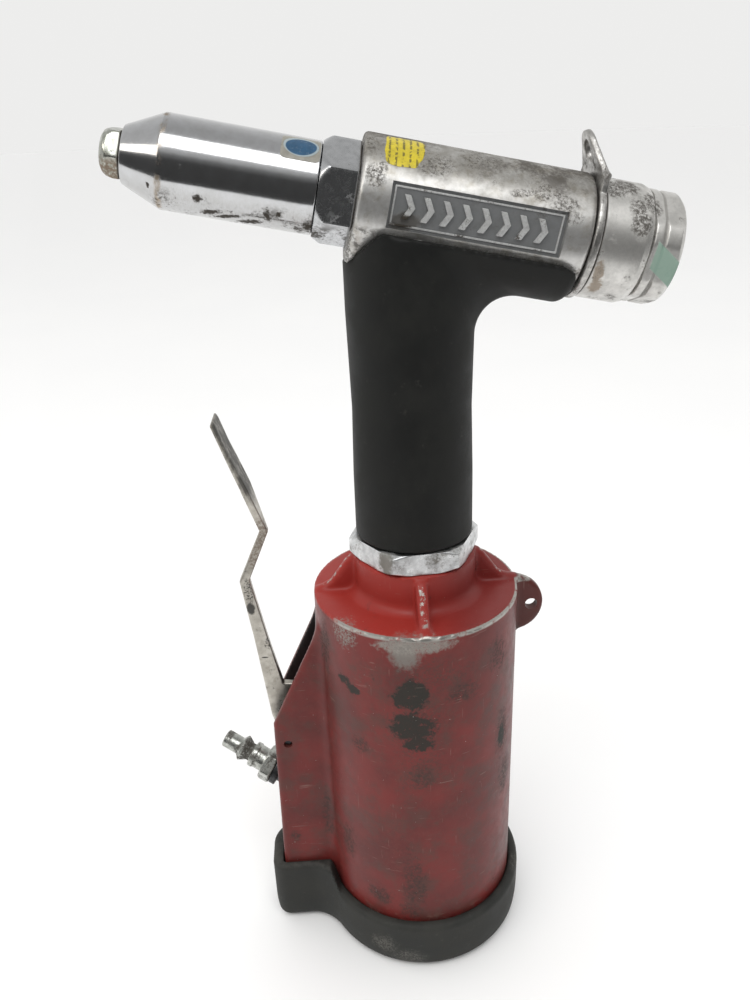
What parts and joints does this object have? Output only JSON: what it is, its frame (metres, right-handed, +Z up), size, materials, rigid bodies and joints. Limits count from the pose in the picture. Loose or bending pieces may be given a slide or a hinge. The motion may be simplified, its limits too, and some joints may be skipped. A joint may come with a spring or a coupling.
{
  "type": "hand riveter",
  "caption": "Air-over-oil hand riveter standing on its rubber-booted air cylinder, with a rubber grip, tilted head, polished nose casing, bent trigger lever and side air plug.",
  "frame": {"origin": "centre of the boot's underside, on the air cylinder's axis", "axes": "+Z up along the air cylinder, -X towards the nose and the trigger lever, +Y towards the side the air plug leans to"},
  "size_m": [0.1863, 0.0888, 0.3389],
  "materials": {
    "chrome": "polished",
    "cast_aluminium": "worn cast",
    "pressed_aluminium": "worn",
    "bright_aluminium": "machined",
    "red_paint": "worn satin paint",
    "grip_rubber": "matte",
    "boot_rubber": "dusty matte",
    "nickel_steel": "dull plated",
    "plated_steel": "zinc plated",
    "tool_steel": "ground",
    "black_steel": "blackened",
    "spring_steel": "drawn wire",
    "bronze": "machined",
    "seal_rubber": "smooth"
  },
  "bodies": {
    "root": {"nosepiece": "tool_steel", "nose_casing": "chrome", "nose_locknut": "chrome", "rod_gland": "bronze", "rod_seal": "seal_rubber", "return_spring": "spring_steel", "rear_cap": "cast_aluminium", "rear_cap_seal": "seal_rubber", "hanger_ring": "pressed_aluminium", "head_casting": "cast_aluminium", "grip_sleeve": "grip_rubber", "handle_locknut": "bright_aluminium", "ram_gland": "bronze", "ram_seal": "seal_rubber", "base_casting": "red_paint", "base_plate": "bright_aluminium", "base_plate_seal": "seal_rubber", "base_snap_ring": "spring_steel", "rubber_boot": "boot_rubber", "lever_pin": "tool_steel", "valve_bush": "bronze", "valve_spring": "spring_steel", "valve_cap": "bronze", "inlet_bushing": "black_steel", "air_plug": "plated_steel"},
    "trigger": {"trigger_lever": "nickel_steel"},
    "valve": {"valve_spool": "bronze", "valve_seal_upper": "seal_rubber", "valve_seal_lower": "seal_rubber"},
    "air_piston_group": {"air_piston": "bright_aluminium", "air_piston_seal": "seal_rubber", "ram_rod": "tool_steel", "ram_nut": "tool_steel"},
    "draw_piston_group": {"draw_piston": "tool_steel", "draw_piston_seal": "seal_rubber", "jaw_case": "tool_steel", "jaw_spring": "spring_steel"},
    "pusher": {"jaw_pusher": "tool_steel"},
    "jaw_a": {"jaw_1": "black_steel"},
    "jaw_b": {"jaw_2": "black_steel"},
    "jaw_c": {"jaw_3": "black_steel"}
  },
  "joints": [
    {"name": "trigger_hinge", "type": "hinge", "parent": "root", "child": "trigger", "pos_m": [-0.055, 0, 0.0988], "axis": [0, 1, 0], "range_deg": [0, 14], "stiffness_Nm_per_rad": 1.2, "springref_deg": -14.32},
    {"name": "valve_slide", "type": "slide", "parent": "root", "child": "valve", "axis": [0, 0, -1], "range_m": [0, 0.0027], "deforming": ["valve_spring"]},
    {"name": "air_piston_slide", "type": "slide", "parent": "root", "child": "air_piston_group", "axis": [0, 0, 1], "range_m": [0, 0.1048]},
    {"name": "draw_piston_slide", "type": "slide", "parent": "root", "child": "draw_piston_group", "axis": [0.9781, 0, -0.2079], "range_m": [0, 0.015], "stiffness_N_per_m": 3000, "springref_m": -0.012, "deforming": ["return_spring"]},
    {"name": "jaw_pusher_slide", "type": "slide", "parent": "draw_piston_group", "child": "pusher", "axis": [-0.9781, 0, 0.2079], "range_m": [0, 0.002], "deforming": ["jaw_spring"]},
    {"name": "jaw_a_slide", "type": "slide", "parent": "draw_piston_group", "child": "jaw_a", "axis": [-0.9053, 0, 0.4247], "range_m": [0, 0.002]},
    {"name": "jaw_b_slide", "type": "slide", "parent": "draw_piston_group", "child": "jaw_b", "axis": [-0.9762, -0.1968, 0.0913], "range_m": [0, 0.002]},
    {"name": "jaw_c_slide", "type": "slide", "parent": "draw_piston_group", "child": "jaw_c", "axis": [-0.9762, 0.1968, 0.0913], "range_m": [0, 0.002]}
  ],
  "couplings": [
    {"joint": "valve_slide", "follows": "trigger_hinge", "m_per_rad": 0.0102},
    {"joint": "draw_piston_slide", "follows": "air_piston_slide", "ratio": 0.14307},
    {"joint": "jaw_pusher_slide", "follows": "air_piston_slide", "ratio": 0.018585},
    {"joint": "jaw_a_slide", "follows": "air_piston_slide", "ratio": 0.019084},
    {"joint": "jaw_b_slide", "follows": "air_piston_slide", "ratio": 0.019084},
    {"joint": "jaw_c_slide", "follows": "air_piston_slide", "ratio": 0.019084}
  ]
}
